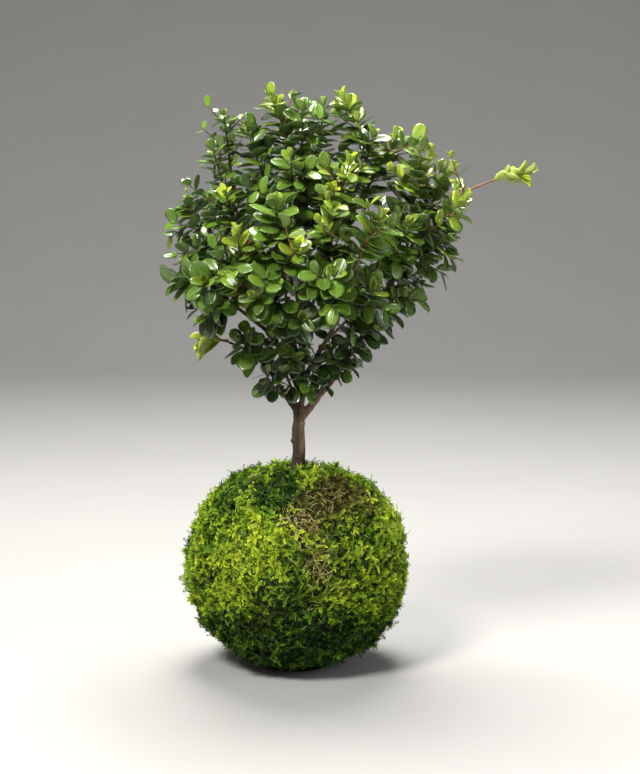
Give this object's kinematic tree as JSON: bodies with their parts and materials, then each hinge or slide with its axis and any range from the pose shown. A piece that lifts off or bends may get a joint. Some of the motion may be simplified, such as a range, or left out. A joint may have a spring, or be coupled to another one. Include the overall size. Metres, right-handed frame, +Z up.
{
  "type": "kokedama moss ball plant",
  "caption": "Small-leaved evergreen shrub with a forked trunk and a wide, rounded crown, growing out of a moss-covered soil ball that rests on a small flat spot.",
  "frame": {"origin": "centre of the small flat spot under the moss ball, on the table", "axes": "+Z up along the trunk, -Y towards the side the plant is looked at from, +X to that viewer's right"},
  "size_m": [0.2081, 0.1334, 0.3302],
  "materials": {
    "soil": "matte",
    "thread": "matte",
    "bark": "matte",
    "leaf": "satin",
    "young_leaf": "satin",
    "moss_bright": "matte",
    "moss_green": "matte",
    "moss_dark": "matte",
    "moss_dry": "matte"
  },
  "bodies": {
    "root": {"binding_thread": "thread", "moss_back_left": "moss_green", "moss_back_right": "moss_green", "moss_base": "moss_dark", "moss_dry_patch": "moss_dry", "moss_front_left": "moss_bright", "moss_front_right": "moss_green", "moss_top_dark": "moss_dark", "shoot_back_high_left": "leaf", "shoot_back_high_right": "leaf", "shoot_back_left": "leaf", "shoot_back_left_low": "leaf", "shoot_back_left_mid": "leaf", "shoot_back_low": "leaf", "shoot_back_mid": "young_leaf", "shoot_back_right": "leaf", "shoot_back_right_low": "leaf", "shoot_front_bud": "young_leaf", "shoot_front_high": "leaf", "shoot_front_high_right": "young_leaf", "shoot_front_low": "leaf", "shoot_front_low_left": "leaf", "shoot_front_mid_right": "leaf", "shoot_front_right": "young_leaf", "shoot_front_right_low": "leaf", "shoot_front_shiny": "leaf", "shoot_front_tuft": "young_leaf", "shoot_front_tuft_left": "young_leaf", "shoot_inner_low": "leaf", "shoot_inner_low_front": "leaf", "shoot_inner_low_left": "leaf", "shoot_inner_low_right": "leaf", "shoot_left_end": "leaf", "shoot_left_front_pale": "leaf", "shoot_left_high": "leaf", "shoot_left_low_dark": "leaf", "shoot_left_mid": "leaf", "shoot_left_upright": "leaf", "shoot_long_right": "young_leaf", "shoot_low_left_side": "leaf", "shoot_low_left_tuft": "young_leaf", "shoot_right_end": "young_leaf", "shoot_right_fan": "leaf", "shoot_right_low_a": "leaf", "shoot_right_low_b": "leaf", "shoot_right_low_c": "leaf", "shoot_right_low_d": "leaf", "shoot_right_mid": "leaf", "shoot_slope_a": "leaf", "shoot_slope_b": "young_leaf", "shoot_slope_c": "young_leaf", "shoot_slope_d": "young_leaf", "shoot_top_a": "young_leaf", "shoot_top_b": "leaf", "shoot_top_c": "leaf", "shoot_top_far_left": "leaf", "shoot_top_left": "leaf", "shoot_top_right": "young_leaf", "soil_ball": "soil", "trunk_and_branches": "bark"}
  },
  "joints": []
}
